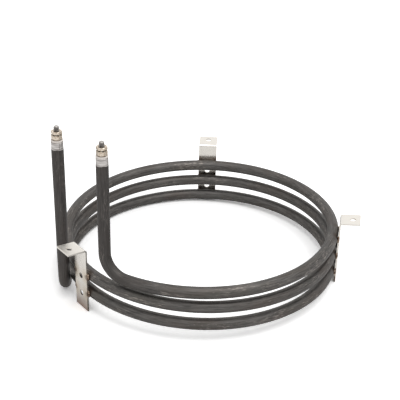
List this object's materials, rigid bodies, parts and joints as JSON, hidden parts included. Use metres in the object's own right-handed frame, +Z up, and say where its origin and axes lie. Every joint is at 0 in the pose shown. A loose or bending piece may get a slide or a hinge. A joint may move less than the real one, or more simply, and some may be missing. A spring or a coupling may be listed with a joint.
{
  "type": "tubular heating element",
  "caption": "Round tubular heating element: a dark sheathed tube wound into stacked turns with upright terminal legs and welded strip brackets.",
  "frame": {"origin": "on the axis of the turns, at the level of the bracket feet", "axes": "+Z up along the axis of the turns and the terminal studs; the terminal legs stand at the front left, towards -X and -Y, and the rear bracket is near +Y"},
  "size_m": [0.2384, 0.2392, 0.1461],
  "materials": {
    "sheath_steel": "dark heat-tinted stainless steel tube, satin, ground bright at both ends",
    "magnesia": "pressed white magnesia powder, matt",
    "resistance_wire": "drawn resistance wire, satin",
    "stud_steel": "plain steel thread, dull",
    "seal_silicone": "red-brown silicone, matt",
    "bush_ceramic": "off-white steatite ceramic, matt",
    "washer_steel": "zinc-plated steel, dull",
    "nut_brass": "pale plated brass, satin",
    "lock_washer_steel": "spring steel, satin",
    "bracket_steel": "stainless steel strip, brushed lengthwise",
    "weld_metal": "weld beads with brown heat tint"
  },
  "bodies": {
    "root": {"sheath": "sheath_steel", "magnesia_fill": "magnesia", "resistance_coil": "resistance_wire", "right_terminal_pin": "stud_steel", "right_end_seal": "seal_silicone", "right_insulator_bush": "bush_ceramic", "right_flat_washer": "washer_steel", "right_inner_nut": "nut_brass", "right_lock_washer": "lock_washer_steel", "right_outer_nut": "nut_brass", "left_terminal_pin": "stud_steel", "left_end_seal": "seal_silicone", "left_insulator_bush": "bush_ceramic", "left_flat_washer": "washer_steel", "left_inner_nut": "nut_brass", "left_lock_washer": "lock_washer_steel", "left_outer_nut": "nut_brass", "rear_bracket": "bracket_steel", "rear_bracket_welds": "weld_metal", "left_bracket": "bracket_steel", "left_bracket_welds": "weld_metal", "right_bracket": "bracket_steel", "right_bracket_welds": "weld_metal"}
  },
  "joints": []
}
